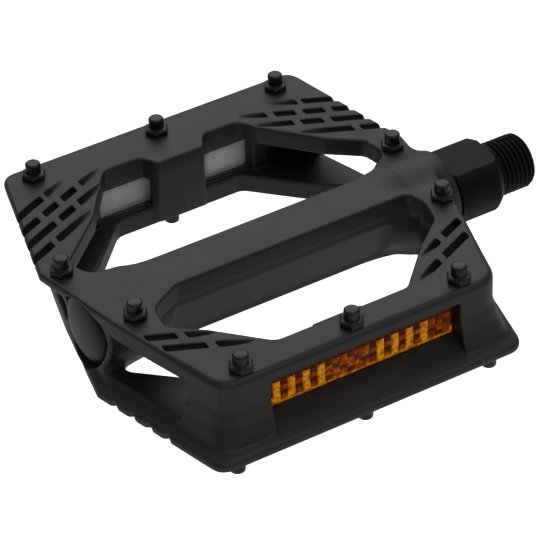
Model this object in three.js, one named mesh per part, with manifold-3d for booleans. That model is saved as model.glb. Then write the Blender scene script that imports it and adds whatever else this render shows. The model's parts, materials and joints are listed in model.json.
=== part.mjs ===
// Flat platform pedal, left-hand build: millimetres, +Z up, +X along the spindle towards the crank arm.
// The origin is the centre of the bounding box, which lies on the spindle axis.
// The moulded cage looks the same after half a turn about that axis, so top features are built
// once and turned over for the bottom.
import * as THREE from 'three';
import { mergeVertices } from 'three/addons/utils/BufferGeometryUtils.js';
import Module from 'manifold-3d';

const wasm = await Module();
wasm.setup();

// ---------------------------------------------------------------- driving dimensions

const gap = 0.3;                 // clearance between pieces that meet

// moulded cage
const landZ = 10;                // the flat lands are at z = +10 and z = -10
const plateZ = 4.9;              // inner faces of the top and bottom plates
const rimLean = [[-10, 0], [-1, 0], [6.6, 0.5], [7.6, 1], [10, 1]];   // height, narrow 0 to wide 1
const noseY = 13;                // the ends run straight across the bosses between these
const wideY = 52.5;              // rim of the wide half of a land
const narrowY = 47;              // rim of its narrow half
const windowX = [6.5, 21];       // rail windows behind each reflector
const windowZ = 3.9;
const pillarY = 36;              // tab and pillar in the middle of each rail
const scallopY = 40.6;           // hollows in the land beside the tab
const pocketY = 41.2;            // back of the reflector pocket
const pocketX = [-23.4, 27.6];   // its two ends there
const mouthX = [-25.2, 26.4];    // and at the rim
const reflectorX = [-22.7, 26.9];   // ends of the lens and of its backing
const pocketZ = 4.2;             // its wide side is level here as far as slopeY
const slopeY = 43;
const pocketSlope = 0.36;
const pocketTop = 6.3;           // its narrow side
const postX = 26.5;              // posts stand between the windows and the corner hollows
const postY = 38.5;
const postBackY = 39.8;
const hollowX = [30.5, 36.5];
const hollowY = 43.5;
const endY = 35.5;               // the end windows stop here

// lattice slots in the lands
const slotWidth = 2;
const slotDepth = 2.2;
const slotRamp = 0.3;            // each row runs out to nothing at its inner end
const slotSlope = 0.47;          // fall per millimetre of run towards the ends
const narrowShift = 1;           // the narrow half's rows lie nearer the rim at the crank end

// bosses and bearings
const bossRadius = 11;
const inboardFace = 52.3;
const boreRadius = 5.6;
const capRecess = 9.3;
const ballRadius = 3.175 / 2;    // 1/8 in balls
const raceRadius = ballRadius + gap;
const outboard = { ballX: -37.2, pitch: 5.9, balls: 11, seat: 8.7 };
const inboard = { ballX: 44.8, pitch: 6.3, balls: 12, seat: 9.2 };
const cupDepth = 2.9;            // from the ball centres to the back of a cup

// spindle
const spindleTip = 76.5;
const outerThread = 3.6;         // thread for the cone and lock nut
const shaftRadius = 4.4;
const neckRadius = 7.4;
const collarRadius = 9.6;
const collarX = [52.8, 66];
const seatBore = 7.2;            // the crank arm seats on the collar's end, outside this radius
const wrenchFlat = 7.5;          // half of 15 mm across flats
const threadRadius = 14.288 / 2; // 9/16 in - 20
const threadPitch = 25.4 / 20;
const threadDepth = 0.72;
const threadTurns = 7;

// traction pins
const pinTipZ = 14.2;
const pinTipRadius = 1.9;
const pinCollarRadius = 3.15;
const pinCollarHeight = 1.1;
const pinShankRadius = 1.5;
const pinShankDepth = 2.6;
const pinSpots = [
  [-34.4, 48], [0, 48], [34.4, 48], [-46.5, 10.8], [45.1, 10.1],
  [-40.1, -13.2], [43.9, -13.8], [-29.4, -42.8], [0, -42.8], [29.4, -42.8],
];

const centreX = (spindleTip - 51.468) / 2;  // the cage is modelled about its middle pins

// ---------------------------------------------------------------- solids

function solid(geometry) {
  const bare = geometry.clone();
  bare.deleteAttribute('normal');
  bare.deleteAttribute('uv');
  const merged = mergeVertices(bare, 1e-4);
  return new wasm.Manifold(new wasm.Mesh({
    numProp: 3,
    vertProperties: Float32Array.from(merged.attributes.position.array),
    triVerts: Uint32Array.from(merged.index.array),
  }));
}

function geometryOf(manifold) {
  const mesh = manifold.getMesh();
  const geometry = new THREE.BufferGeometry();
  geometry.setAttribute('position', new THREE.BufferAttribute(mesh.vertProperties, 3));
  geometry.setIndex(new THREE.BufferAttribute(mesh.triVerts, 1));
  geometry.computeVertexNormals();
  return geometry;
}

const join = (solids) => solids.reduce((whole, next) => whole.add(next));
const cut = (whole, solids) => solids.reduce((rest, next) => rest.subtract(next), whole);

const outline = (points) => new THREE.Shape(points.map(([x, y]) => new THREE.Vector2(x, y)));

function prismZ(points, low, high) {
  const geometry = new THREE.ExtrudeGeometry(outline(points),
    { depth: high - low, bevelEnabled: false });
  return solid(geometry.translate(0, 0, low));
}

// points are (y, z) pairs of a section that runs along X
function prismX(points, low, high) {
  const geometry = new THREE.ExtrudeGeometry(outline(points),
    { depth: high - low, bevelEnabled: false });
  const axes = new THREE.Matrix4().makeBasis(
    new THREE.Vector3(0, 1, 0), new THREE.Vector3(0, 0, 1), new THREE.Vector3(1, 0, 0));
  return solid(geometry.applyMatrix4(axes).translate(low, 0, 0));
}

function block([x0, x1], [y0, y1], [z0, z1]) {
  const geometry = new THREE.BoxGeometry(x1 - x0, y1 - y0, z1 - z0);
  return solid(geometry.translate((x0 + x1) / 2, (y0 + y1) / 2, (z0 + z1) / 2));
}

// profile is a list of (x, radius) pairs, turned about the X axis
function turned(profile, segments = 28) {
  const points = profile.map(([x, r]) => new THREE.Vector2(r, x));
  const geometry = new THREE.LatheGeometry(points, segments);
  return solid(geometry.rotateZ(-Math.PI / 2));
}

const disc = (x0, x1, radius, segments = 28) =>
  turned([[x0, 0], [x0, radius], [x1, radius], [x1, 0]], segments);

const ring = (x0, x1, inner, outer, segments = 28) =>
  turned([[x0, inner], [x0, outer], [x1, outer], [x1, inner], [x0, inner]], segments);

const turnOver = (manifold) => manifold.rotate([180, 0, 0]);
const bothSides = (solids) => solids.flatMap((one) => [one, turnOver(one)]);

// ---------------------------------------------------------------- outlines

const mix = (a, b, t) => a + (b - a) * t;

// corners are (x, y, radius); a radius of 0 keeps the corner sharp
function rounded(corners, steps = 5) {
  const points = [];
  corners.forEach(([x, y, radius], i) => {
    if (radius === 0) {
      points.push([x, y]);
      return;
    }
    const here = new THREE.Vector2(x, y);
    const [px, py] = corners[(i + corners.length - 1) % corners.length];
    const [nx, ny] = corners[(i + 1) % corners.length];
    const back = new THREE.Vector2(px, py).sub(here).normalize();
    const ahead = new THREE.Vector2(nx, ny).sub(here).normalize();
    const half = Math.acos(THREE.MathUtils.clamp(back.dot(ahead), -1, 1)) / 2;
    const reach = radius / Math.tan(half);
    const curve = new THREE.QuadraticBezierCurve(
      here.clone().addScaledVector(back, reach), here, here.clone().addScaledVector(ahead, reach));
    curve.getPoints(steps).forEach((p) => points.push([p.x, p.y]));
  });
  return points;
}

// rim of the cage: each half is between narrow (0) and wide (1)
function rim(far, near) {
  const corner = (side, t, y) => {
    const narrow = side > 0 ? 50.3 - 0.27 * y : 49.3 - 0.265 * y;
    const wide = side > 0 ? 52.5 - 0.215 * y : 54.9 - 0.264 * y;
    return side * mix(narrow, wide, t);
  };
  const halfEdge = (t) => mix(narrowY, wideY, t);
  const halfRadius = (t) => mix(7, 4.5, t);
  const at = (side, t, direction, y, radius) => [corner(side, t, y), direction * y, radius];
  return rounded([
    at(1, near, -1, noseY, 0), at(1, far, 1, noseY, 0),
    at(1, far, 1, halfEdge(far), halfRadius(far)), at(-1, far, 1, halfEdge(far), halfRadius(far)),
    at(-1, far, 1, noseY, 0), at(-1, near, -1, noseY, 0),
    at(-1, near, -1, halfEdge(near), halfRadius(near)),
    at(1, near, -1, halfEdge(near), halfRadius(near)),
  ]);
}

function lean(z) {
  const i = rimLean.findIndex(([height]) => height > z);
  if (i < 0) return 1;
  const [[z0, t0], [z1, t1]] = [rimLean[i - 1], rimLean[i]];
  return mix(t0, t1, (z - z0) / (z1 - z0));
}

// a closed solid through a stack of outlines with the same number of points
function loft(levels) {
  const count = levels[0].points.length;
  const positions = levels.flatMap(({ z, points }) => points.flatMap(([x, y]) => [x, y, z]));
  const index = [];
  for (let level = 0; level + 1 < levels.length; level += 1) {
    for (let i = 0; i < count; i += 1) {
      const a = level * count + i;
      const b = level * count + (i + 1) % count;
      index.push(a, b, b + count, a, b + count, a + count);
    }
  }
  const cap = (points) => THREE.ShapeUtils.triangulateShape(
    points.map(([x, y]) => new THREE.Vector2(x, y)), []);
  cap(levels[0].points).forEach(([a, b, c]) => index.push(a, c, b));
  const top = (levels.length - 1) * count;
  cap(levels.at(-1).points).forEach(([a, b, c]) => index.push(top + a, top + b, top + c));
  const geometry = new THREE.BufferGeometry();
  geometry.setAttribute('position', new THREE.Float32BufferAttribute(positions, 3));
  geometry.setIndex(index);
  return solid(geometry);
}

// ---------------------------------------------------------------- pedal body

function shell() {
  const heights = rimLean.flatMap(([z]) => [z, -z]);
  const levels = [...new Set(heights)].sort((a, b) => a - b);
  return loft(levels.map((z) => ({ z, points: rim(lean(z), lean(-z)) })));
}

// the two hand openings as they meet the top land, in the wide half and in the narrow half
const farOpening = rounded([
  [-34, 4.6, 0], [-24, 3.6, 2], [26, 3.6, 2], [36, 4.8, 3], [42, 9.5, 4], [40.8, 16, 3],
  [33, 22.3, 3], [21.5, 35.6, 3], [18.5, scallopY, 4], [9, scallopY, 3], [6.5, pillarY, 1],
  [-6.5, pillarY, 1], [-9, scallopY, 3], [-19, scallopY, 4], [-30, 25.5, 4], [-43.5, 13, 2.5],
  [-41, 6.6, 4],
], 4);
const nearOpening = rounded([
  [-26, -8, 3], [-35, -13, 5], [-36, -20.5, 3], [-28.5, -26.5, 3], [-17.5, -38.3, 4],
  [18, -38.3, 3], [29, -27, 3], [37.5, -20, 4], [39, -13.5, 3], [37.2, -6.6, 1], [32, -8, 3],
], 4);

function plate() {
  const lands = prismZ(rim(1, 1), plateZ, landZ);
  return cut(lands, [
    prismZ(farOpening, plateZ - 1, landZ + 1),
    prismZ(nearOpening, plateZ - 1, landZ + 1),
  ]);
}

// (y, z) section of the tube between the two bosses
const barrelSection = [
  [-8, landZ], [-8, 3], [-6.2, -6], [-4, -landZ], [8, -landZ], [8, -3], [6.2, 6], [4, landZ],
];

// wide rail with its tab, pillar and corner posts; the narrow rail is this one turned over
function rail() {
  const [inner, outer] = windowX;
  const [near, far] = hollowX;
  const half = [
    [inner, pillarY, 0], [inner + 2.2, pocketY - 1, 0], [outer, pocketY - 1, 0],
    [outer + 1, postY, 0], [postX, postY, 1], [postX, postBackY, 0], [near - 1, postBackY, 0],
    [near, hollowY, 2], [far, hollowY, 2.5], [far + 2, endY, 1.5], [54, endY, 0], [54, 56, 0],
  ];
  const plan = rounded([...half.map(([x, y, radius]) => [-x, y, radius]).reverse(), ...half], 3);
  return prismZ(plan, -plateZ - 0.1, plateZ + 0.1);
}

function railCuts() {
  const [inner, outer] = windowX;
  const windows = [-1, 1].map((side) => block(
    [Math.min(side * inner, side * outer), Math.max(side * inner, side * outer)],
    [pillarY - 3, pocketY + 1], [-windowZ, windowZ]));
  const outside = wideY + 2;
  const plan = prismZ([
    [pocketX[0], pocketY], [pocketX[1], pocketY], [mouthX[1], outside], [mouthX[0], outside],
  ], -landZ, landZ);
  const section = prismX([
    [pocketY, -pocketTop], [outside, -pocketTop],
    [outside, pocketZ + pocketSlope * (outside - slopeY)], [slopeY, pocketZ], [pocketY, pocketZ],
  ], mouthX[0], pocketX[1]);
  return [...windows, plan.intersect(section)];
}

// one row of slots across a land: y40 is its height where |x| = 40, spans are in |x| and start at
// the inner end, where the row has no depth
function slotRow(side, y40, spans, direction) {
  const fall = (x) => direction * (y40 + slotSlope * (40 - x));
  const half = slotWidth / 2 * Math.hypot(1, slotSlope);
  const floor = (x) => landZ - Math.min(slotDepth, slotRamp * (x - spans[0][0]));
  return spans.map(([from, to]) => wasm.Manifold.hull([from, to].flatMap((x) => [-half, half]
    .flatMap((offset) => [floor(x), landZ + 1].map((z) => [side * x, fall(x) + offset, z])))));
}

function slots() {
  const wideRows = [
    [37.7, [[29.5, 35.5], [37, 50]]],
    [32.7, [[19.9, 26.3], [28.3, 32.9], [34.9, 39.5], [41.5, 54]]],
    [27.9, [[21.3, 30.2], [32.2, 37], [39, 57]]],
    [23, [[29, 41.4], [43.2, 57]]],
  ];
  const narrowRows = [
    [23.7, [[27.1, 33.7], [35.8, 42.2]]],
    [28.5, [[21.5, 29.5], [31.7, 40.6]]],
  ];
  return [-1, 1].flatMap((side) => [
    ...wideRows.flatMap(([y40, spans]) => slotRow(side, y40, spans, 1)),
    ...narrowRows.flatMap(([y40, spans]) => slotRow(side, y40 + side * narrowShift, spans, -1)),
  ]);
}

const inboardBoss = () => turned([
  [33, 0], [33, 8.4], [39.5, bossRadius], [50.3, bossRadius], [51.7, 10.6],
  [inboardFace, 9.9], [inboardFace, 0],
], 36);

const outboardBoss = () => turned([
  [-56, 0], [-56, bossRadius], [-34, bossRadius], [-28, 8], [-28, 0],
], 36);

const bores = () => [
  disc(-60, 60, boreRadius),
  disc(-60, -40.2, capRecess, 36),
  disc(-60, outboard.ballX + cupDepth + gap, outboard.seat),
  disc(inboard.ballX - cupDepth - gap, 60, inboard.seat),
];

const pinHole = ([x, y]) => {
  const hole = new THREE.CylinderGeometry(
    pinShankRadius + gap, pinShankRadius + gap, pinShankDepth + gap + 1, 12);
  hole.rotateX(Math.PI / 2);
  return solid(hole.translate(x, y, landZ + 1 - (pinShankDepth + gap + 1) / 2));
};

function pedalBody() {
  const core = join([
    plate(), turnOver(plate()), rail(), turnOver(rail()), prismX(barrelSection, -38, 40),
    outboardBoss(),
  ]);
  const trimmed = core.intersect(shell()).add(inboardBoss());
  return cut(trimmed, [
    ...bothSides([...railCuts(), ...slots(), ...pinSpots.map(pinHole)]),
    ...bores(),
  ]);
}

// ---------------------------------------------------------------- spindle and bearings

// points round a ball centre, clear of the balls; degrees run from +X towards larger radius
const race = ({ ballX, pitch }, degrees) => degrees.map((degree) => {
  const angle = THREE.MathUtils.degToRad(degree);
  return [ballX + raceRadius * Math.cos(angle), pitch + raceRadius * Math.sin(angle)];
});

function spindle() {
  const [shoulder, seat] = collarX;
  const threadStart = seat + 0.7;
  const root = threadRadius - threadDepth;
  const crests = [];
  for (let turn = 0; turn < threadTurns; turn += 1) {
    const x = threadStart + turn * threadPitch;
    crests.push([x, root], [x + 0.5 * threadPitch, threadRadius]);
  }
  const body = turned([
    [-46.2, 0], [-46.2, 3.1], [-45.7, outerThread], [-34.8, outerThread], [-34, shaftRadius],
    ...race(inboard, [270, 292, 315, 338, 360]), [47, 7], [47.4, neckRadius],
    [shoulder - 0.6, neckRadius], [shoulder, 9], [shoulder + 0.4, collarRadius],
    [seat - 1.7, collarRadius], [seat, 8.3], [seat, seatBore], [seat + 0.4, seatBore],
    ...crests, [spindleTip - 1.1, root], [spindleTip - 0.9, threadRadius - 0.1],
    [spindleTip, threadRadius - 0.9], [spindleTip, 0],
  ]);
  const flats = [-1, 1].map((side) => block(
    [shoulder - 0.5, seat + 0.1], [-12, 12],
    side > 0 ? [wrenchFlat, 12] : [-12, -wrenchFlat]));
  return cut(body, flats);
}

// balls held in a thin retainer ring
function ballRing({ ballX, pitch, balls }) {
  const spheres = [];
  for (let i = 0; i < balls; i += 1) {
    const angle = (i / balls) * 2 * Math.PI;
    const ball = new THREE.SphereGeometry(ballRadius, 8, 6);
    spheres.push(solid(ball.translate(ballX, pitch * Math.cos(angle), pitch * Math.sin(angle))));
  }
  return join([ring(ballX - 0.4, ballX + 0.4, pitch - 0.5, pitch + 0.5, 2 * balls), ...spheres]);
}

function inboardCup() {
  const { ballX, seat } = inboard;
  return turned([
    [ballX - cupDepth, boreRadius], [ballX - cupDepth, seat - gap], [ballX + 1.2, seat - gap],
    [ballX + 1.2, inboard.pitch + raceRadius], ...race(inboard, [90, 112, 135, 158, 180]),
    [ballX - raceRadius, boreRadius], [ballX - cupDepth, boreRadius],
  ]);
}

function outboardCup() {
  const { ballX, seat } = outboard;
  return turned([
    [ballX - 1.2, outboard.pitch + raceRadius], [ballX - 1.2, seat - gap],
    [ballX + cupDepth, seat - gap], [ballX + cupDepth, boreRadius],
    [ballX + raceRadius, boreRadius], ...race(outboard, [0, 22, 45, 68, 90]),
    [ballX - 1.2, outboard.pitch + raceRadius],
  ]);
}

function outboardCone() {
  const { ballX } = outboard;
  const bore = outerThread + gap;
  return turned([
    [ballX - 5, bore], [ballX - 5, 6.1], [ballX - 2.6, 6.1],
    ...race(outboard, [180, 202, 225]), [ballX - 0.9, 4.3], [ballX - 0.9, bore],
    [ballX - 5, bore],
  ]);
}

const lockWasher = () => ring(-43.5, -42.5, outerThread + gap, 6, 20);

function lockNut() {
  const points = [];
  for (let i = 0; i < 6; i += 1) {
    const angle = (i / 6) * 2 * Math.PI;
    points.push([6.4 * Math.cos(angle), 6.4 * Math.sin(angle)]);
  }
  return prismX(points, -46.2, -43.8).subtract(disc(-50, -40, outerThread + gap, 20));
}

const dustCap = () => turned([
  [-48.3, 0], [-48.1, 4], [-47.5, 7.4], [-46.9, 8.7], [-46.5, 9], [-40.6, 9], [-40.6, 7.6],
  [-46, 7.6], [-46.7, 6.8], [-46.9, 0],
], 32);

const inboardSeal = () => ring(48, 51.6, neckRadius + gap, inboard.seat - gap);

// ---------------------------------------------------------------- reflectors and pins

const reflectorLens = () => block(reflectorX, [42.4, 43.6], [-6, 3.9]);
const reflectorBack = () => block(reflectorX, [41.5, 42.1], [-6, 3.9]);

function tractionPin([x, y]) {
  const stack = [
    [pinShankRadius, 12, landZ - pinShankDepth, landZ + gap],
    [pinCollarRadius, 6, landZ + gap, landZ + gap + pinCollarHeight],
    [pinTipRadius, 12, landZ + gap, pinTipZ],
  ].map(([radius, sides, low, high]) => {
    const drum = new THREE.CylinderGeometry(radius, radius, high - low, sides);
    drum.rotateX(Math.PI / 2);
    return solid(drum.translate(x, y, (low + high) / 2));
  });
  return join(stack);
}

// ---------------------------------------------------------------- materials and assembly

const material = (color, roughness, metalness) =>
  new THREE.MeshStandardMaterial({ color, roughness, metalness });
const nylon = material(0x232425, 0.62, 0);
const blackSteel = material(0x1b1c1e, 0.42, 0.9);
const pinSteel = material(0x2a2b2d, 0.5, 0.8);
const bearingSteel = material(0xb4b7ba, 0.22, 1);
const retainerSteel = material(0xa9abae, 0.28, 1);
const amber = material(0xd98512, 0.18, 0);
const greyPlastic = material(0xa8aaac, 0.4, 0);
const capPlastic = material(0x2b2c2e, 0.55, 0);
const rubber = material(0x151515, 0.85, 0);

const cage = new THREE.Group();
cage.position.x = -centreX;

function piece(name, manifold, finish) {
  const mesh = new THREE.Mesh(geometryOf(manifold), finish);
  mesh.name = name;
  cage.add(mesh);
}

piece('pedal_body', pedalBody(), nylon);
piece('spindle', spindle(), blackSteel);
piece('inboard_cup', inboardCup(), bearingSteel);
piece('inboard_seal', inboardSeal(), rubber);
piece('inboard_ball_ring', ballRing(inboard), retainerSteel);
piece('outboard_cup', outboardCup(), bearingSteel);
piece('outboard_ball_ring', ballRing(outboard), retainerSteel);
piece('outboard_cone', outboardCone(), bearingSteel);
piece('lock_washer', lockWasher(), bearingSteel);
piece('lock_nut', lockNut(), blackSteel);
piece('dust_cap', dustCap(), capPlastic);
piece('rear_reflector_lens', reflectorLens(), amber);
piece('rear_reflector_back', reflectorBack(), greyPlastic);
piece('front_reflector_lens', turnOver(reflectorLens()), amber);
piece('front_reflector_back', turnOver(reflectorBack()), greyPlastic);
pinSpots.forEach((spot, i) => {
  const number = String(i + 1).padStart(2, '0');
  piece(`pin_top_${number}`, tractionPin(spot), pinSteel);
  piece(`pin_bottom_${number}`, turnOver(tractionPin(spot)), pinSteel);
});

const pedal = new THREE.Group();
pedal.add(cage);

export default pedal;
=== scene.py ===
"""Looks for the flat pedal: fine meshes, materials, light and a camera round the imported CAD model.

Shapes are fields of signed distance in millimetres, negative inside the solid, on a grid in cage
axes: x runs along the spindle from the middle pins, y across it and z up. A field's zero level
becomes the mesh, and most edges and inner corners carry the small radius of a moulding.
"""

import itertools
import json
import math

import bmesh
import bpy
import numpy as np
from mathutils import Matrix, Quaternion, Vector


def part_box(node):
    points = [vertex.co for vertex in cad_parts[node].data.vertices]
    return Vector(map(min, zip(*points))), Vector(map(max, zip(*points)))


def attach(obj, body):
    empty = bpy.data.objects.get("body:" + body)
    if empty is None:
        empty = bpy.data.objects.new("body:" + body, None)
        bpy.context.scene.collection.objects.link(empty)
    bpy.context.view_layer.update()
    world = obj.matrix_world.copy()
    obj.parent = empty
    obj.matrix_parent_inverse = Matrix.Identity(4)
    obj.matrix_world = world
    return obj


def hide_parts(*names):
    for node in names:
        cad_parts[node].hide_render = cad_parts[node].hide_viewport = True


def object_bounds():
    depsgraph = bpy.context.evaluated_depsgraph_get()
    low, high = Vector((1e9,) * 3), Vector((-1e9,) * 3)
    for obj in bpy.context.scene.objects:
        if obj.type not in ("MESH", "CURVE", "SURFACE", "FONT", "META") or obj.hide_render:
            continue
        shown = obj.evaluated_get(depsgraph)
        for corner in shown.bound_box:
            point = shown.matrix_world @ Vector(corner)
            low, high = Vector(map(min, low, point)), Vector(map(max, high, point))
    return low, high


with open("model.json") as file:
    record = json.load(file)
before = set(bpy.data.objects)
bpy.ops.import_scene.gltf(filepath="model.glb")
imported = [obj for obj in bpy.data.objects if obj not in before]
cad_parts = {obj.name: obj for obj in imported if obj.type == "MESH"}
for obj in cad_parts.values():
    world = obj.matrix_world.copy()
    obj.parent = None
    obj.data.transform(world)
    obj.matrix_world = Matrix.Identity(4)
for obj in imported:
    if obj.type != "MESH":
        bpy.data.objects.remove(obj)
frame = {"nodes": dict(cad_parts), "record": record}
cad_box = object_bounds()

MM = 0.001


def centre(node):
    """Middle of a CAD node's box, in millimetres of the row frame."""
    low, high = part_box(node)
    return (low + high) / 2 / MM


CAGE_X = centre("pin_top_02").x     # the cage is laid out about its middle pins
TOP_PINS = [f"pin_top_{n:02d}" for n in range(1, 11)]
BOTTOM_PINS = [f"pin_bottom_{n:02d}" for n in range(1, 11)]
SPINDLE_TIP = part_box("spindle")[1].x / MM - CAGE_X

# ------------------------------------------------------------------ cage dimensions, millimetres

LAND_Z = 10
PLATE_Z = 4.9                       # inner faces of the top and bottom plates
RIM_LEAN = ((-2, 2, 5.6, 6.5, 7.1, 7.6, 8.3),         # height in the wide half,
            (0, 0.2, 0.47, 0.57, 0.8, 0.94, 1))       # and lean there from narrow to wide
NOSE_Y = 13                         # the ends run straight across the bosses between these
WIDE_Y, NARROW_Y = 52.5, 47
WINDOW_X = (6.5, 21)                # rail windows behind each reflector
WINDOW_Z = 3.9
WINDOW_REACH = 3                    # a window is cut this far to either side of the pocket's back
PILLAR_Y = 36
SCALLOP_Y = 40.6
POCKET_Y, POCKET_X, MOUTH_X = 41.2, (-23.4, 27.6), (-25.2, 26.4)    # reflector pocket
POCKET_Z, POCKET_SLOPE, SLOPE_Y = 4.2, 0.36, 43     # wide side of the pocket
POCKET_TOP = 6.3                                    # and its narrow side
POST_X, POST_Y, POST_BACK_Y = 26.5, 38.5, 39.8
HOLLOW_X, HOLLOW_Y, END_Y = (30.5, 36.5), 43.5, 35.5
SLOT_WIDTH, SLOT_DEPTH, SLOT_SLOPE, SLOT_RAMP = 2, 2.2, 0.47, 0.3
NARROW_SHIFT = 1                    # the narrow half's rows sit this much nearer or farther
BARREL_X, BARREL_HALF = 1, 39       # middle and half length of the barrel between the bosses
BOSS_RADIUS = 11
INBOARD_FACE = 52.3
BORE_RADIUS = 5.6
CAP_RECESS, INBOARD_BORE = 9.3, 9.2
OUTBOARD_BORE = 8.7
OUTSIDE = 60                        # past either end of the cage
SHANK_RADIUS, SHANK_DEPTH = 1.8, 2.9

# ------------------------------------------------------------------ distance fields


def meet(a, b, radius=0.0):
    """Intersection of two fields, with its outer edge rounded to a radius."""
    sharp = np.maximum(a, b)
    if np.all(radius == 0):
        return sharp
    corner = np.hypot(np.maximum(a + radius, 0), np.maximum(b + radius, 0))
    return np.minimum(sharp, -radius) + corner


def merge(a, b, radius=0.0):
    """Union of two fields, with its inner corner filleted to a radius."""
    return -meet(-a, -b, radius)


def carve(a, b, radius=0.0):
    """Field a with b cut away, and the cut's edge rounded to a radius."""
    return meet(a, -b, radius)


def polygon(u, v, corners):
    """Signed distance in a plane to a closed polygon."""
    nearest = np.full(np.broadcast(u, v).shape, 1e9, np.float32)
    inside = np.zeros(nearest.shape, bool)
    for (u0, v0), (u1, v1) in zip(corners, corners[1:] + corners[:1]):
        du, dv = u1 - u0, v1 - v0
        if du == dv == 0:
            continue
        along = np.clip(((u - u0) * du + (v - v0) * dv) / (du * du + dv * dv), 0, 1)
        nearest = np.minimum(nearest, (u - u0 - along * du) ** 2 + (v - v0 - along * dv) ** 2)
        if dv:
            inside ^= ((v0 > v) != (v1 > v)) & (u < u0 + (v - v0) * du / dv)
    return np.where(inside, -1, 1) * np.sqrt(nearest)


def rounded(corners, steps=6):
    """Corners (u, v, radius) of an outline as points, each corner turned through its radius."""
    points = []
    for i, (u, v, radius) in enumerate(corners):
        if not radius:
            points.append((u, v))
            continue
        here = Vector((u, v))
        back = (Vector(corners[i - 1][:2]) - here).normalized()
        ahead = (Vector(corners[(i + 1) % len(corners)][:2]) - here).normalized()
        reach = radius / math.tan(back.angle(ahead) / 2)
        for step in range(steps + 1):
            t = step / steps
            p = here + back * reach * (1 - t) ** 2 + ahead * reach * t ** 2
            points.append((p.x, p.y))
    return points


def turned(profile, x, radius):
    """Field of a profile of (x, radius) pairs turned about the spindle axis."""
    closed = profile + [(px, -pr) for px, pr in reversed(profile)]
    pitch = 0.1
    radii = np.arange(0, radius.max() + 2 * pitch, pitch)
    table = polygon(x.reshape(-1, 1), radii[None, :], closed).astype(np.float32)
    low = (radius / pitch).astype(int)
    share = (radius / pitch - low).astype(np.float32)
    shape = (x.size,) + radius.shape[1:]
    low, share = low.reshape(-1), share.reshape(-1)
    return (table[:, low] * (1 - share) + table[:, low + 1] * share).reshape(shape)


# ------------------------------------------------------------------ from a field to a mesh

CORNERS = np.array(list(itertools.product((0, 1), repeat=3)))
EDGES = [(a, b) for a in range(8) for b in range(a + 1, 8)
         if np.abs(CORNERS[a] - CORNERS[b]).sum() == 1]


class Grid:
    """A field sampled on three rising axes."""

    def __init__(self, values, axes):
        self.values = values.astype(np.float32)
        self.axes = [np.asarray(a, float) for a in axes]

    def sample(self, points):
        """Values at points (n, 3), interpolated between the samples."""
        low, share = [], []
        for axis, positions in zip(self.axes, points.T):
            cell = np.clip(np.searchsorted(axis, positions) - 1, 0, len(axis) - 2)
            low.append(cell)
            share.append(np.clip((positions - axis[cell]) / (axis[cell + 1] - axis[cell]), 0, 1))
        total = 0
        for corner in CORNERS:
            weight = 1
            for s, bit in zip(share, corner):
                weight = weight * (s if bit else 1 - s)
            total = total + weight * self.values[tuple(i + bit for i, bit in zip(low, corner))]
        return total

    def slope(self, points, reach):
        """Gradient and Laplacian at points, by differences over a reach in millimetres."""
        middle = self.sample(points)
        gradient, laplacian = np.zeros_like(points), -6 * middle
        for axis in range(3):
            shift = np.zeros(3)
            shift[axis] = reach
            ahead, behind = self.sample(points + shift), self.sample(points - shift)
            gradient[:, axis] = (ahead - behind) / (2 * reach)
            laplacian += ahead + behind
        return middle, gradient, laplacian / reach ** 2

    def surface(self):
        """Vertices and quads of the zero level: one vertex in each cell that the level crosses."""
        inside = self.values < 0
        count = sum(inside[tuple(slice(b, n - 1 + b) for b, n in zip(corner, inside.shape))]
                    .astype(np.uint8) for corner in CORNERS)
        cells = np.argwhere((count > 0) & (count < 8))
        ids = np.full(count.shape, -1, np.int32)
        ids[tuple(cells.T)] = np.arange(len(cells))
        values = np.stack([self.values[tuple((cells + c).T)] for c in CORNERS], 1)
        place, crossings = np.zeros((len(cells), 3)), np.zeros(len(cells))
        for a, b in EDGES:
            crossed = (values[:, a] < 0) != (values[:, b] < 0)
            t = values[crossed, a] / (values[crossed, a] - values[crossed, b])
            place[crossed] += CORNERS[a] + t[:, None] * (CORNERS[b] - CORNERS[a])
            crossings[crossed] += 1
        place = cells + place / crossings[:, None]
        points = np.stack([np.interp(place[:, i], np.arange(len(axis)), axis)
                           for i, axis in enumerate(self.axes)], 1)
        quads = []
        for axis in range(3):
            b, c = np.eye(3, dtype=int)[(axis + 1) % 3], np.eye(3, dtype=int)[(axis + 2) % 3]
            low = inside.take(range(inside.shape[axis] - 1), axis)
            high = inside.take(range(1, inside.shape[axis]), axis)
            at = np.argwhere(low != high)
            at = at[np.all((at > 0) | (np.arange(3) == axis), 1)]
            at = at[np.all(at < np.array(count.shape), 1)]
            ring = np.stack([ids[tuple((at - shift).T)] for shift in (b + c, c, 0 * b, b)], 1)
            solid_low = low[tuple(at.T)]
            quads += [ring[solid_low], ring[~solid_low][:, ::-1]]
        return points, np.concatenate(quads)


def to_row(points):
    """Cage millimetres to the row frame's metres."""
    return (np.asarray(points, float) + (CAGE_X, 0, 0)) * MM


def mesh_object(name, points, faces):
    """An object from points in cage millimetres and an array, or a list, of faces."""
    mesh = bpy.data.meshes.new(name)
    if isinstance(faces, np.ndarray):
        sides = faces.shape[1]
        mesh.vertices.add(len(points))
        mesh.vertices.foreach_set("co", to_row(points).astype(np.float32).ravel())
        mesh.loops.add(faces.size)
        mesh.loops.foreach_set("vertex_index", faces.astype(np.int32).ravel())
        mesh.polygons.add(len(faces))
        mesh.polygons.foreach_set("loop_start", np.arange(0, faces.size, sides, dtype=np.int32))
        mesh.update(calc_edges=True)
    else:
        mesh.from_pydata(to_row(points).tolist(), [], faces)
    mesh.validate()
    mesh.polygons.foreach_set("use_smooth", np.ones(len(mesh.polygons), bool))
    made = bpy.data.objects.new(name, mesh)
    bpy.context.scene.collection.objects.link(made)
    return made


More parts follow.
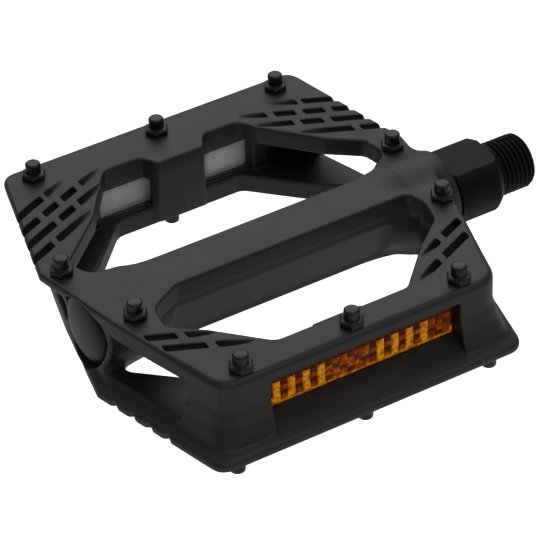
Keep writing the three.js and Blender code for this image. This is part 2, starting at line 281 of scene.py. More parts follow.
def applied(obj):
    """The object with its modifiers baked into its mesh."""
    graph = bpy.context.evaluated_depsgraph_get()
    final = bpy.data.meshes.new_from_object(obj.evaluated_get(graph))
    obj.modifiers.clear()
    old, obj.data = obj.data, final
    bpy.data.meshes.remove(old)
    return obj


def grid_object(name, grid, faces_kept, reach):
    """The grid's surface as an object, thinned out where it is flat, with smooth normals and an
    "edge" value at each vertex: above 0 on outer edges and below 0 in inner corners."""
    points, quads = grid.surface()
    obj = mesh_object(name, points, quads)
    triangles = 2 * len(quads)
    if triangles > faces_kept:
        thin = obj.modifiers.new("thin", "DECIMATE")
        thin.ratio = faces_kept / triangles
        applied(obj)
    mesh = obj.data
    placed = np.zeros(len(mesh.vertices) * 3, np.float32)
    mesh.vertices.foreach_get("co", placed)
    points = placed.reshape(-1, 3).astype(float) / MM - (CAGE_X, 0, 0)
    for _ in range(2):
        value, gradient, _unused = grid.slope(points, reach)
        steep = np.maximum((gradient ** 2).sum(1), 0.25)
        step = np.clip(value / steep, -0.1, 0.1)
        points = points - step[:, None] * gradient
    mesh.vertices.foreach_set("co", to_row(points).astype(np.float32).ravel())
    _value, gradient, bend = grid.slope(points, reach)
    normals = gradient / np.linalg.norm(gradient, axis=1, keepdims=True)
    mesh.update()
    mesh.normals_split_custom_set_from_vertices(normals.tolist())
    edge = mesh.attributes.new("edge", "FLOAT", "POINT")
    edge.data.foreach_set("value", np.clip(bend, -1.5, 1.5).astype(np.float32))
    return obj


# ------------------------------------------------------------------ the moulded cage


def rim(far, near):
    """Rim of the cage: each half is between narrow (0) and wide (1)."""
    def corner(side, t, y):
        narrow = 50.3 - 0.27 * y if side > 0 else 49.3 - 0.265 * y
        wide = 52.5 - 0.215 * y if side > 0 else 54.9 - 0.264 * y
        return side * (narrow + (wide - narrow) * t)

    def half(side, t, direction):
        edge, radius = NARROW_Y + (WIDE_Y - NARROW_Y) * t, 7 - 2.5 * t
        return [(corner(side, t, NOSE_Y), direction * NOSE_Y, 0),
                (corner(side, t, edge), direction * edge, radius)]

    return rounded(half(1, near, -1)[:1] + half(1, far, 1) + half(-1, far, 1)[::-1]
                   + half(-1, near, -1) + half(1, near, -1)[1:])


FAR_OPENING = rounded([
    (-34, 4.6, 0), (-24, 3.6, 2), (26, 3.6, 2), (36, 4.8, 3), (42, 9.5, 4), (40.8, 16, 3),
    (33, 22.3, 3), (21.5, 35.6, 3), (18.5, SCALLOP_Y, 4), (9, SCALLOP_Y, 3), (6.5, PILLAR_Y, 1),
    (-6.5, PILLAR_Y, 1), (-9, SCALLOP_Y, 3), (-19, SCALLOP_Y, 4), (-30, 25.5, 4),
    (-43.5, 13, 2.5), (-41, 6.6, 4),
])
NEAR_OPENING = rounded([
    (-26, -8, 3), (-35, -13, 5), (-36, -20.5, 3), (-28.5, -26.5, 3), (-17.5, -38.3, 4),
    (18, -38.3, 3), (29, -27, 3), (37.5, -20, 4), (39, -13.5, 3), (37.2, -6.6, 1), (32, -8, 3),
])
BARREL = [(-8, 14), (-8, 3), (-4, -8), (-3.8, -14), (8, -14), (8, -3), (4, 8), (3.8, 14)]
RAIL_HALF = [
    (WINDOW_X[0], PILLAR_Y, 0), (WINDOW_X[0] + 2.2, POCKET_Y - 1, 0), (WINDOW_X[1], POCKET_Y - 1, 0),
    (WINDOW_X[1] + 1, POST_Y, 0), (POST_X, POST_Y, 1), (POST_X, POST_BACK_Y, 0),
    (HOLLOW_X[0] - 1, POST_BACK_Y, 0), (HOLLOW_X[0], HOLLOW_Y, 2), (HOLLOW_X[1], HOLLOW_Y, 2.5),
    (HOLLOW_X[1] + 2, END_Y, 1.5), (54, END_Y, 0), (54, 56, 0),
]
RAIL_PLAN = rounded([(-x, y, radius) for x, y, radius in reversed(RAIL_HALF)] + RAIL_HALF)
WIDE_ROWS = [
    (37.7, [(29.5, 35.5), (37, 50)]),
    (32.7, [(19.9, 26.3), (28.3, 32.9), (34.9, 39.5), (41.5, 54)]),
    (27.9, [(21.3, 30.2), (32.2, 37), (39, 57)]),
    (23, [(29, 41.4), (43.2, 57)]),
]
NARROW_ROWS = [(23.7, [(27.1, 33.7), (35.8, 42.2)]), (28.5, [(21.5, 29.5), (31.7, 40.6)])]


def slots(x, y, z):
    """Field of the lattice slots of the top land. The floor of each row runs out to the land at
    the row's inner end, and the slot narrows with it."""
    slant = math.hypot(1, SLOT_SLOPE)
    run = np.abs(x)
    field = np.full(np.broadcast_shapes(x.shape, y.shape, z.shape), 9, np.float32)
    for side, (rows, half) in itertools.product((-1, 1), ((WIDE_ROWS, 1), (NARROW_ROWS, -1))):
        on_side = side * x > 0
        for y40, spans in rows:
            shift = side * NARROW_SHIFT if half < 0 else 0
            middle = half * (y40 + shift + SLOT_SLOPE * (40 - run))
            floor_z = LAND_Z - np.minimum(SLOT_DEPTH, SLOT_RAMP * (run - spans[0][0]))
            width = np.minimum(SLOT_WIDTH / 2, 0.3 + 0.5 * (z - floor_z))
            row = np.maximum(np.abs(y - middle) / slant - width, floor_z - z)
            for start, end in spans:
                one = np.maximum(row, np.maximum(start - run, run - end) * slant)
                field = np.where(on_side, np.minimum(field, one), field)
    return field


def step_up(value, start, end):
    """0 before start and 1 after end, with an easy curve between."""
    t = np.clip((value - start) / (end - start), 0, 1)
    return t * t * (3 - 2 * t)


def pocket(x, y, z, top):
    """Reflector pocket of the rail at +y, up to a height."""
    mouth = WIDE_Y + 2
    plan = polygon(x, y, [(POCKET_X[0], POCKET_Y), (POCKET_X[1], POCKET_Y), (MOUTH_X[1], mouth),
                          (MOUTH_X[0], mouth)])
    return meet(plan, z - top, 0.5)


def wide_top(y):
    """Height of the pocket's wide side, which slopes away towards the rim."""
    return POCKET_Z + POCKET_SLOPE * np.maximum(y - SLOPE_Y, 0)


def windows(x, y, z):
    """The two windows in the rail at +y."""
    inner, outer = WINDOW_X
    across = np.abs(np.abs(x) - (inner + outer) / 2) - (outer - inner) / 2
    along = np.abs(y - POCKET_Y) - WINDOW_REACH
    return meet(meet(across, np.abs(z) - WINDOW_Z, 0.3), along)


def cage_grid(pitch):
    """Field of the moulded cage. Its top half is sampled and the bottom half is that half turned
    over about the spindle axis."""
    xs = np.arange(-58, 55, pitch)
    half = np.arange(0, 54, pitch)
    ys = np.concatenate([-half[:0:-1], half])
    zs = np.arange(0, 12, pitch)
    x, y = (a.astype(np.float32) for a in (xs[:, None, None], ys[None, :, None]))
    z = zs[None, None, :].astype(np.float32)
    flat_x, flat_y = x[:, :, 0], y[:, :, 0]

    def plan(corners, flip=1):
        return polygon(flat_x, flip * flat_y, corners)[:, :, None].astype(np.float32)

    outline = np.stack([polygon(flat_x, flat_y, rim(*np.interp((h, -h), *RIM_LEAN))) for h in zs],
                       2).astype(np.float32)
    openings = np.minimum(plan(FAR_OPENING), plan(NEAR_OPENING))
    core = meet(PLATE_Z - z, -openings, 0.6)

    post = step_up(np.abs(x), 26, 34)
    for flip in (1, -1):
        rail = meet(plan(RAIL_PLAN, flip), z - 8, 0)
        core = merge(core, rail, 0.3 + 0.9 * post)
    barrel = polygon(y[0], z[0], BARREL)[None].astype(np.float32)
    ends = step_up(np.abs(x), 30, 37)
    core = merge(core, meet(barrel, np.abs(x - BARREL_X) - BARREL_HALF), 0.3 + 1.5 * ends)

    radius = np.hypot(y, z)
    boss = [(-OUTSIDE, 0), (-OUTSIDE, BOSS_RADIUS), (-34, BOSS_RADIUS), (-28, 8), (-28, 0)]
    core = merge(core, turned(boss, x, radius), 2.2)
    body = meet(core, z - LAND_Z, 0.7)
    body = meet(body, outline, 0.9 + 0.9 * step_up(-y, 20, 40))
    boss = [(30, 0), (33, 8.4), (39.5, BOSS_RADIUS), (50.3, BOSS_RADIUS), (51.7, 10.6),
            (INBOARD_FACE, 9.9), (INBOARD_FACE, 0)]
    body = merge(body, turned(boss, x, radius), 2.0)

    body = carve(body, pocket(x, y, z, wide_top(y)), 0.5)
    body = carve(body, pocket(x, -y, z, POCKET_TOP), 0.5)
    body = carve(body, np.minimum(windows(x, y, z), windows(x, -y, z)), 0.25)
    upper = zs > LAND_Z - SLOT_DEPTH - 1
    body[:, :, upper] = carve(body[:, :, upper], slots(x, y, z[:, :, upper]), 0.12)
    spots = [centre(name) for name in TOP_PINS]
    holes = np.min([np.hypot(flat_x - p.x + CAGE_X, flat_y - p.y) - SHANK_RADIUS
                    for p in spots], 0)[:, :, None].astype(np.float32)
    body = carve(body, meet(holes, LAND_Z - SHANK_DEPTH - z))
    bores = [(-OUTSIDE, 0), (-OUTSIDE, CAP_RECESS), (-40.2, CAP_RECESS), (-40.2, OUTBOARD_BORE),
             (-34, OUTBOARD_BORE), (-34, BORE_RADIUS), (41.6, BORE_RADIUS), (41.6, INBOARD_BORE),
             (OUTSIDE, INBOARD_BORE), (OUTSIDE, 0)]
    body = carve(body, turned(bores, x, radius), 0.5)

    whole = np.concatenate([body[:, ::-1, :0:-1], body], 2)
    return Grid(whole, (xs, ys, np.concatenate([-zs[:0:-1], zs])))


# ------------------------------------------------------------------ spindle

COLLAR = (52.8, 66.0)
COLLAR_RADIUS = 9.6
WRENCH_FLAT = 7.5
THREAD_RADIUS, THREAD_PITCH, THREAD_DEPTH = 14.288 / 2, 1.27, 0.72
THREAD_START = COLLAR[1] + 0.7
KNURLS, KNURL_DEPTH = 96, 0.13


def spindle_grid(pitch):
    """Field of the spindle: a turned profile with two wrench flats, shallow knurls that are
    deepest on the lower side of the collar, and a helical thread."""
    shoulder, seat = COLLAR
    xs = np.concatenate([np.arange(-47, 44, 0.5), np.arange(44, 52, 0.3),
                         np.arange(52, 66, pitch), np.arange(66, 77.2, 0.1)])
    ys = np.arange(-10.2, 10.3, pitch)
    x = xs[:, None, None].astype(np.float32)
    y = ys[None, :, None].astype(np.float32)
    z = ys[None, None, :].astype(np.float32)
    radius, angle = np.hypot(y, z), np.arctan2(z, y)
    profile = [
        (-46.2, 0), (-46.2, 3.1), (-45.7, 3.6), (-34.8, 3.6), (-34, 4.4), (44.8, 4.4),
        (45.4, 4.5), (46.2, 5), (46.65, 5.7), (46.7, 6.3), (47, 7), (47.4, 7.4),
        (shoulder - 0.6, 7.4), (shoulder, 9), (shoulder + 0.4, COLLAR_RADIUS),
        (seat - 1.7, COLLAR_RADIUS), (seat, 8.3), (seat, 7.2), (seat + 0.4, 7.2),
        (THREAD_START, THREAD_RADIUS - 0.05), (SPINDLE_TIP - 0.95, THREAD_RADIUS - 0.05),
        (SPINDLE_TIP, THREAD_RADIUS - 0.95), (SPINDLE_TIP, 0),
    ]
    base = turned(profile, x, radius)
    knurl = KNURL_DEPTH * step_up(x, 53.6, 54.4) * step_up(-x, -64.2, -63.4)
    knurl = knurl * step_up(radius, 8.8, 9.3) * (0.12 + 0.88 * step_up(-z / radius, 0.1, 0.6))
    base = base + knurl * (0.5 + 0.5 * np.cos(KNURLS * angle))
    flats = meet(WRENCH_FLAT - np.abs(z), np.abs(x - (shoulder + seat) / 2) - 7.1)
    base = carve(base, flats, 0.15)
    turns = x / THREAD_PITCH - angle / (2 * math.pi)
    ridge = np.clip(1.25 * (1 - np.abs(2 * (turns % 1) - 1)) - 0.1, 0, 1)
    groove = (radius - THREAD_RADIUS + 0.05 + THREAD_DEPTH * (1 - ridge)) * 0.7
    groove = np.where(x > THREAD_START, groove, -9)
    return Grid(np.maximum(base, groove), (xs, ys, ys))


# ------------------------------------------------------------------ small turned and moulded pieces


def revolve(name, profile, segments):
    """A profile of (x, radius) pairs, from axis to axis, turned about x."""
    points, faces, rings = [], [], []
    for along, radius in profile:
        ring = []
        for i in range(segments if radius else 1):
            angle = 2 * math.pi * i / segments
            ring.append(len(points))
            points.append((along, radius * math.cos(angle), radius * math.sin(angle)))
        rings.append(ring)
    for low, high in zip(rings, rings[1:]):
        for i in range(segments):
            j = (i + 1) % segments
            if len(low) == 1:
                faces.append((low[0], high[j], high[i]))
            elif len(high) == 1:
                faces.append((low[i], low[j], high[0]))
            else:
                faces.append((low[i], low[j], high[j], high[i]))
    return mesh_object(name, points, faces)


def outward(obj):
    """The object with its faces turned to the outside."""
    work = bmesh.new()
    work.from_mesh(obj.data)
    bmesh.ops.recalc_face_normals(work, faces=work.faces)
    work.to_mesh(obj.data)
    work.free()
    return obj


def traction_pin(node):
    """Hex collar with a round stud on it. The stud's rim is chamfered and its neck undercut."""
    low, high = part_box(node)
    middle = centre(node)
    x, y = middle.x - CAGE_X, middle.y
    up = 1 if high.z > 0 else -1
    tip = max(abs(low.z), abs(high.z)) / MM
    base, collar = LAND_Z + 0.06, 1.3
    rings = [                        # (z, radius, how six-sided from 0 to 1)
        (LAND_Z - 2.6, 1.45, 0), (base, 1.45, 0), (base, 2.95, 1), (base + 0.12, 3.12, 1),
        (base + collar - 0.4, 3.12, 1), (base + collar - 0.12, 2.9, 0.9),
        (base + collar, 2.6, 0.5), (base + collar + 0.02, 2.1, 0),
        (base + collar + 0.2, 1.82, 0), (base + collar + 0.6, 1.86, 0),
        (tip - 0.5, 1.9, 0), (tip - 0.28, 1.84, 0), (tip - 0.08, 1.62, 0), (tip, 1.4, 0),
    ]
    segments = 48
    points, faces = [], []
    for z, radius, hexness in rings:
        for i in range(segments):
            angle = 2 * math.pi * i / segments
            side = (angle + math.pi / 6) % (math.pi / 3) - math.pi / 6
            flat = math.cos(math.pi / 6) / math.cos(math.pi / 6 - abs(side))
            r = radius * (1 + hexness * (flat - 1))
            points.append((x + r * math.cos(angle), y + up * r * math.sin(angle), up * z))
    for level in range(len(rings) - 1):
        for i in range(segments):
            j = (i + 1) % segments
            a, b = level * segments, (level + 1) * segments
            faces.append((a + i, a + j, b + j, b + i))
    faces.append(tuple(range(segments - 1, -1, -1)))
    faces.append(tuple((len(rings) - 1) * segments + i for i in range(segments)))
    pin = outward(mesh_object(f"{node}_fine", points, faces))
    pin.data.set_sharp_from_angle(angle=math.radians(40))
    return pin


# ------------------------------------------------------------------ materials


class Shader:
    """A node material under construction. Node inputs are given by socket name."""

    def __init__(self, name):
        self.material = bpy.data.materials.new(name)
        self.material.use_nodes = True
        self.tree = self.material.node_tree
        self.bsdf = self.tree.nodes["Principled BSDF"]
        self.place = self.node("ShaderNodeTexCoord").outputs["Object"]

    def node(self, kind, values=None, **settings):
        made = self.tree.nodes.new(kind)
        for key, value in settings.items():
            setattr(made, key, value)
        for key, value in (values or {}).items():
            if isinstance(value, bpy.types.NodeSocket):
                self.tree.links.new(value, made.inputs[key])
            else:
                made.inputs[key].default_value = value
        return made

    def set(self, **values):
        for key, value in values.items():
            socket = self.bsdf.inputs[key.replace("_", " ")]
            if isinstance(value, bpy.types.NodeSocket):
                self.tree.links.new(value, socket)
            else:
                socket.default_value = value
        return self

    def noise(self, size_mm, detail=3, stretch=(1, 1, 1)):
        """Noise whose features are about that size."""
        where = self.place
        if stretch != (1, 1, 1):
            where = self.node("ShaderNodeMapping", {"Vector": where, "Scale": stretch}).outputs[0]
        return self.node("ShaderNodeTexNoise", {"Vector": where, "Scale": 1 / (size_mm * MM),
                                                "Detail": detail}).outputs["Fac"]

    def grain(self, size_mm):
        """Rounded cells of about that size, as on an eroded mould face."""
        return self.node("ShaderNodeTexVoronoi", {"Vector": self.place,
                                                  "Scale": 1 / (size_mm * MM)},
                         feature="SMOOTH_F1").outputs["Distance"]

    def ramp(self, factor, *stops):
        made = self.node("ShaderNodeValToRGB", {"Fac": factor})
        ramp = made.color_ramp
        for extra in stops[2:]:
            ramp.elements.new(extra[0])
        for element, (position, colour) in zip(ramp.elements, sorted(stops)):
            element.position = position
            element.color = (*colour, 1)
        return made.outputs["Color"]

    def span(self, factor, low, high, start=0.0, end=1.0):
        return self.node("ShaderNodeMapRange", {"Value": factor, "From Min": start,
                                                "From Max": end, "To Min": low,
                                                "To Max": high}).outputs["Result"]

    def math(self, operation, a, b):
        return self.node("ShaderNodeMath", {0: a, 1: b}, operation=operation).outputs[0]

    def blend(self, factor, a, b):
        made = self.node("ShaderNodeMix", data_type="RGBA")
        for socket, value in ((made.inputs["Factor"], factor), (made.inputs[6], a),
                              (made.inputs[7], b)):
            if isinstance(value, bpy.types.NodeSocket):
                self.tree.links.new(value, socket)
            else:
                socket.default_value = (*value, 1) if isinstance(value, tuple) else value
        return made.outputs[2]

    def bump(self, height, depth_mm, strength=1.0, below=None):
        values = {"Height": height, "Distance": depth_mm * MM, "Strength": strength}
        if below is not None:
            values["Normal"] = below
        return self.node("ShaderNodeBump", values).outputs["Normal"]

    def edge(self):
        return self.node("ShaderNodeAttribute", attribute_name="edge").outputs["Fac"]


def grey(value):
    return (value, value, value * 1.02)


def nylon():
    s = Shader("moulded_nylon")
    blotch, fine, grain = s.noise(9, 4), s.noise(0.5, 2), s.grain(0.28)
    tone = s.ramp(blotch, (0.3, grey(0.010)), (0.7, grey(0.014)))
    flecks = s.span(fine, 0, 0.35, 0.62, 0.8)
    tone = s.blend(flecks, tone, grey(0.02))
    tone = s.blend(s.span(s.edge(), 0, 0.5, 0.25, 1.3), tone, grey(0.03))
    rough = s.math("ADD", s.span(blotch, 0.46, 0.56), s.span(fine, -0.05, 0.05))
    coarse = s.bump(s.noise(1.6, 3), 0.05, 0.35)
    return s.set(Base_Color=tone, Roughness=rough, Specular_IOR_Level=0.5,
                 Normal=s.bump(grain, 0.03, 0.5, coarse)).material


def black_oxide():
    s = Shader("black_oxide_steel")
    blotch, lathe = s.noise(4, 4), s.noise(0.22, 2, (1, 0.05, 0.05))
    tone = s.ramp(blotch, (0.3, grey(0.006)), (0.72, grey(0.011)))
    tone = s.blend(s.span(s.edge(), 0, 0.5, 0.5, 1.5), tone, grey(0.03))
    rough = s.math("ADD", s.span(blotch, 0.36, 0.5), s.span(lathe, -0.06, 0.06))
    return s.set(Base_Color=tone, Roughness=rough, Specular_IOR_Level=0.1,
                 Normal=s.bump(lathe, 0.012, 0.5)).material


def pin_finish():
    s = Shader("satin_black_pin")
    blotch, fine = s.noise(1.6, 4), s.noise(0.25, 2)
    tone = s.ramp(blotch, (0.3, grey(0.009)), (0.7, grey(0.014)))
    rough = s.span(blotch, 0.3, 0.46)
    return s.set(Base_Color=tone, Roughness=rough, Metallic=0.2,
                 Normal=s.bump(fine, 0.02, 0.4)).material


def ground_steel():
    s = Shader("ground_steel")
    lathe, blotch = s.noise(0.15, 2, (1, 0.05, 0.05)), s.noise(2.5, 3)
    tone = s.ramp(blotch, (0.3, (0.42, 0.41, 0.4)), (0.7, (0.55, 0.55, 0.54)))
    return s.set(Base_Color=tone, Roughness=s.span(lathe, 0.18, 0.34), Metallic=1.0,
                 Normal=s.bump(lathe, 0.006, 0.4)).material


def seal_rubber():
    s = Shader("seal_rubber")
    fine = s.noise(0.4, 3)
    tone = s.ramp(s.noise(3, 3), (0.3, grey(0.012)), (0.7, grey(0.02)))
    return s.set(Base_Color=tone, Roughness=s.span(fine, 0.7, 0.85),
                 Normal=s.bump(fine, 0.03, 0.5)).material


def cap_plastic():
    s = Shader("cap_plastic")
    blotch, fine = s.noise(5, 4), s.noise(0.4, 2)
    tone = s.ramp(blotch, (0.3, grey(0.010)), (0.7, grey(0.014)))
    return s.set(Base_Color=tone, Roughness=s.span(blotch, 0.36, 0.46), Specular_IOR_Level=0.22,
                 Normal=s.bump(fine, 0.02, 0.3)).material


def grey_plastic():
    s = Shader("reflector_grey")
    blotch, fine = s.noise(9, 3), s.noise(0.5, 2)
    tone = s.ramp(blotch, (0.25, (0.5, 0.505, 0.51)), (0.75, (0.8, 0.805, 0.81)))
    return s.set(Base_Color=tone, Roughness=s.span(blotch, 0.3, 0.42),
                 Normal=s.bump(fine, 0.02, 0.25)).material


def amber():
    """Prism lens. A weak glow stands in for the light that bright cells send back."""
    s = Shader("amber_lens")
    # painted glint and shade of each face, made uneven by noise, set the lens colour and its weak
    # glow
    painted_light = s.node("ShaderNodeAttribute", attribute_name="painted_light").outputs["Fac"]
    uneven = s.math("MULTIPLY", painted_light, s.span(s.noise(1.1, 2), 0.45, 1.35, 0.3, 0.7))
    tone = s.ramp(uneven, (0.0, (0.07, 0.01, 0.004)), (0.3, (0.3, 0.055, 0.005)),
                  (0.65, (0.75, 0.22, 0.006)), (1.0, (1.0, 0.45, 0.02)))
    return s.set(Base_Color=tone, Emission_Color=tone, Roughness=0.22, IOR=1.49,
                 Specular_IOR_Level=0.2, Emission_Strength=0.14).material


FINISHES = {
    "nylon": nylon, "black_steel": black_oxide, "pin_steel": pin_finish,
    "bearing_steel": ground_steel, "rubber": seal_rubber, "cap_plastic": cap_plastic,
    "amber_lens": amber, "reflector_grey": grey_plastic,
}
finishes = {slot: make() for slot, make in FINISHES.items()}
slot_of = {part["node"]: part["material_slot"] for part in frame["record"]["subparts"]}
body_of = {node: body for body, nodes in frame["record"]["behaviour"]["bodies"].items()
           for node in nodes}


def paint(obj, slot):
    obj.data.materials.clear()
    obj.data.materials.append(finishes[slot])


def stands_for(obj, node):
    """The piece takes the CAD node's body, slot and finish, and is shown in its place."""
    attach(obj, body_of[node])
    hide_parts(node)
    paint(obj, slot_of[node])
    return obj


for name, obj in frame["nodes"].items():
    paint(obj, slot_of[name])

# ------------------------------------------------------------------ pieces

CAGE_PITCH, SPINDLE_PITCH = ((0.3, 0.2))
CAGE_FACES, SPINDLE_FACES = 190000, 120000

stands_for(grid_object("cage", cage_grid(CAGE_PITCH), CAGE_FACES, 0.25), "pedal_body")
stands_for(grid_object("spindle_fine", spindle_grid(SPINDLE_PITCH), SPINDLE_FACES, 0.1), "spindle")
for node in TOP_PINS + BOTTOM_PINS:
    stands_for(traction_pin(node), node)


def dust_cap():
    """Shallow domed cap with a rolled edge and a skirt."""
    low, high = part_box("dust_cap")
    face, skirt = low.x / MM - CAGE_X, high.x / MM - CAGE_X
    outer = [(0, 0), (0.1, 3), (0.35, 5.5), (0.75, 7.3), (1.1, 8.1), (1.4, 8.6), (1.75, 8.88),
             (2.2, 8.98)]
    profile = [(face + along, radius) for along, radius in outer]
    profile += [(skirt - 0.2, 8.98), (skirt, 8.8), (skirt, 7.8), (face + 3.2, 7.6),
                (face + 2.4, 7.0), (face + 1.9, 4), (face + 1.7, 0)]
    return outward(revolve("dust_cap_fine", profile, 96))


cap = stands_for(dust_cap(), "dust_cap")
cap.data.set_sharp_from_angle(angle=math.radians(40))

LENS_CELLS, LENS_DEPTH = (24, 6), 0.4           # prism cells along and across, and their depth
BACK_PANELS, PANEL_DEPTH, PANEL_FRAME = (3, 1), 0.25, 0.35
BORDER = 0.75                                   # plain border round either plate's face
PLATE_PLAY = 0.02
# x spans of the lens cells and their level of painted glint
CELL_GROUPS = ((-26.9, -7, 1), (-7, 4.5, 0.45), (4.5, 19.5, 1), (19.5, 26.9, 0.35))
SHADED, LIT_FROM = -1.9, 2                      # heights: painted shade past one, painted lit border past the other
PAINTED_SHADE, LIT_BORDER, PLATE_SIDE = 0.05, 0.7, 0.5   # values of painted light: painted shade, painted lit border, plate sides
FACET_SHADE_STEP = 0.12                               # each side of a cell is painted this much darker, as painted shade


def cell_painted_light(column, row, x, depth):
    """Painted glint and shade of a prism cell: bright and dark columns alternate in the bright
    groups.
    """
    level = next(value for start, end, value in CELL_GROUPS if start <= x < end)
    # cells past this height, under the lip, get painted shade
    if depth < SHADED:
        return PAINTED_SHADE
    if level < 1:
        return level * (1 if (column + row) % 3 else 0.3)
    return level * (1 if column % 2 else 0.35 if row % 2 else 0.04)


def outline_of(ids, columns, rows):
    """Grid points round the edge of a face, in order."""
    right, top = columns - 1, rows - 1
    return ([ids[i, 0] for i in range(columns)] + [ids[right, k] for k in range(1, rows)]
            + [ids[i, top] for i in range(right - 1, -1, -1)]
            + [ids[0, k] for k in range(top - 1, 0, -1)])


def plate(node, toward, cells, sunk, frame_width=0.0):
    """A plate that fills the CAD node's box. Cells of its face sink to a point, or to a flat
    panel inside a frame of that width. Each face carries painted glint and shade, which the lens
    finish reads."""
    low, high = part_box(node)
    x0, x1 = low.x / MM - CAGE_X + PLATE_PLAY, high.x / MM - CAGE_X - PLATE_PLAY
    z0, z1 = low.z / MM + PLATE_PLAY, high.z / MM - PLATE_PLAY
    back_y, face_y = (side.y / MM for side in ((low, high) if toward > 0 else (high, low)))
    columns = [x0, *np.linspace(x0 + BORDER, x1 - BORDER, cells[0] + 1), x1]
    rows = [z0, *np.linspace(z0 + BORDER, z1 - BORDER, cells[1] + 1), z1]
    places = list(itertools.product(range(len(columns)), range(len(rows))))
    ids = {place: n for n, place in enumerate(places)}
    points = [(columns[i], face_y, rows[k]) for i, k in places]
    faces, painted_light = [], []
    for i, k in itertools.product(range(len(columns) - 1), range(len(rows) - 1)):
        ring = [ids[i, k], ids[i + 1, k], ids[i + 1, k + 1], ids[i, k + 1]]
        (xa, xb), (za, zb) = columns[i:i + 2], rows[k:k + 2]
        depth = (za + zb) / 2 * toward
        if i in (0, len(columns) - 2) or k in (0, len(rows) - 2):
            faces.append(ring)
            # border cells: a painted lit border up high, painted shade below
            painted_light.append(LIT_BORDER if depth > LIT_FROM else PAINTED_SHADE)
            continue
        if frame_width:
            xs, zs = (xa + frame_width, xb - frame_width), (za + frame_width, zb - frame_width)
            inner = [(xs[0], zs[0]), (xs[1], zs[0]), (xs[1], zs[1]), (xs[0], zs[1])]
        else:
            inner = [((xa + xb) / 2, (za + zb) / 2)]
        start = len(points)
        points += [(x, face_y - toward * sunk, z) for x, z in inner]
        # the cell's painted glint and shade
        value = cell_painted_light(i, k, (xa + xb) / 2, depth)
        for n in range(4):
            after = (n + 1) % 4
            far = [start + after, start + n] if frame_width else [start]
            faces.append([ring[n], ring[after], *far])
            # each facet of the cell is painted a step darker, as painted shade
            painted_light.append(value * (1 - FACET_SHADE_STEP * n))
        if frame_width:
            faces.append([start + n for n in range(4)])
            painted_light.append(1)
    outer, rear = outline_of(ids, len(columns), len(rows)), len(points)
    points += [(points[v][0], back_y, points[v][2]) for v in outer]
    for n, v in enumerate(outer):
        after = (n + 1) % len(outer)
        faces.append([v, outer[after], rear + after, rear + n])
    faces.append([rear + n for n in range(len(outer))])
    # the plate's sides get a middle level of painted light
    painted_light += [PLATE_SIDE] * (len(outer) + 1)
    made = mesh_object(f"{node}_fine", points, faces)
    # the painted glint and shade go into a face attribute
    values = made.data.attributes.new("painted_light", "FLOAT", "FACE")
    values.data.foreach_set("value", np.array(painted_light, np.float32))
    made.data.polygons.foreach_set("use_smooth", np.zeros(len(made.data.polygons), bool))
    return outward(made)


for side, toward in (("rear", 1), ("front", -1)):
    lens, back = f"{side}_reflector_lens", f"{side}_reflector_back"
    stands_for(plate(lens, toward, LENS_CELLS, LENS_DEPTH), lens)
    stands_for(plate(back, -toward, BACK_PANELS, PANEL_DEPTH, PANEL_FRAME), back)

# ------------------------------------------------------------------ floor, light and camera


FLOOR_GAP = 4                       # millimetres below the swept circle


def floor(name, colour, emission, **seen):
    """Round floor below the circle that the platform's rim sweeps as it spins. Its edge is well
    out of the camera's view."""
    bpy.ops.mesh.primitive_circle_add(vertices=96, radius=4, fill_type="NGON")
    disc = bpy.context.object
    disc.name = name
    disc.location.z = cad_box[0].y - FLOOR_GAP * MM
    material = bpy.data.materials.new(name)
    material.use_nodes = True
    bsdf = material.node_tree.nodes["Principled BSDF"]
    bsdf.inputs["Base Color"].default_value = (*colour, 1)
    bsdf.inputs["Roughness"].default_value = 0.9
    bsdf.inputs["Emission Color"].default_value = (*colour, 1)
    bsdf.inputs["Emission Strength"].default_value = emission
    disc.data.materials.append(material)
    for ray, visible in seen.items():
        setattr(disc, f"visible_{ray}", visible)


def softbox(name, size, place, power):
    """Rectangular lamp that faces the middle of the object."""
    light = bpy.data.lights.new(name, "AREA")
    light.shape, light.size, light.size_y, light.energy = "RECTANGLE", *size, power
    lamp = bpy.data.objects.new(name, light)
    bpy.context.scene.collection.objects.link(lamp)
    lamp.location = place
    lamp.rotation_euler = (-Vector(place)).to_track_quat("-Z", "Y").to_euler()


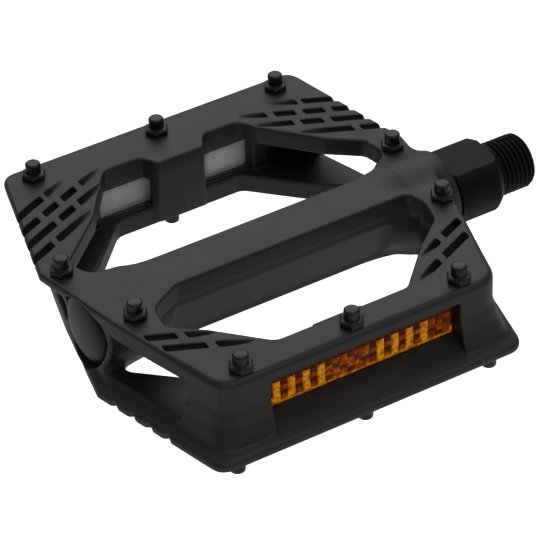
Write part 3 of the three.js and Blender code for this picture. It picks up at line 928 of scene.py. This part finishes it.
def surround():
    """Soft studio surround: bright overhead, darker towards the horizon."""
    world = bpy.data.worlds.new("studio")
    bpy.context.scene.world = world
    world.use_nodes = True
    tree = world.node_tree
    tree.nodes.clear()
    out = tree.nodes.new("ShaderNodeOutputWorld")
    back = tree.nodes.new("ShaderNodeBackground")
    ramp = tree.nodes.new("ShaderNodeValToRGB")
    split = tree.nodes.new("ShaderNodeSeparateXYZ")
    where = tree.nodes.new("ShaderNodeTexCoord")
    tree.links.new(where.outputs["Generated"], split.inputs[0])
    tree.links.new(split.outputs["Z"], ramp.inputs["Fac"])
    tree.links.new(ramp.outputs["Color"], back.inputs["Color"])
    tree.links.new(back.outputs[0], out.inputs["Surface"])
    ramp.color_ramp.elements[0].position = 0.0
    ramp.color_ramp.elements[0].color = (0.05, 0.05, 0.05, 1)
    ramp.color_ramp.elements[1].position = 0.9
    ramp.color_ramp.elements[1].color = (0.3, 0.3, 0.3, 1)


CAMERA_TARGET = (0.94, -4.38, 0)    # in cage millimetres
CAMERA_AZIMUTH, CAMERA_ELEVATION, CAMERA_ROLL = (math.radians(a) for a in (-29.58, 37.77, 2.37))
CAMERA_DISTANCE = 752.17
LENS_MM, SENSOR_MM = 210.06, 36


def camera():
    """Camera above the near left corner, turned slightly about its own axis."""
    data = bpy.data.cameras.new("camera")
    data.lens, data.sensor_width = LENS_MM, SENSOR_MM
    data.clip_end = 20
    cam = bpy.data.objects.new("camera", data)
    bpy.context.scene.collection.objects.link(cam)
    level = math.cos(CAMERA_ELEVATION)
    back = Vector((math.sin(CAMERA_AZIMUTH) * level, -math.cos(CAMERA_AZIMUTH) * level,
                   math.sin(CAMERA_ELEVATION)))
    cam.location = Vector(to_row(CAMERA_TARGET)) + back * CAMERA_DISTANCE * MM
    cam.rotation_mode = "QUATERNION"
    cam.rotation_quaternion = back.to_track_quat("Z", "Y") @ Quaternion((0, 0, 1), -CAMERA_ROLL)
    bpy.context.scene.camera = cam


# the camera sees the first floor, and the second lights the underside
floor("floor", (0.95, 0.95, 0.95), 1.2, diffuse=False, glossy=False, shadow=False)
floor("floor_bounce", (0.75, 0.75, 0.75), 0.3, camera=False)
surround()
softbox("back", (1.3, 1.0), (0.55, 0.95, 0.95), 6.8)
softbox("front", (0.9, 0.5), (0.2, -0.8, 1.15), 2.2)
camera()
bpy.context.scene.view_settings.view_transform = "Standard"
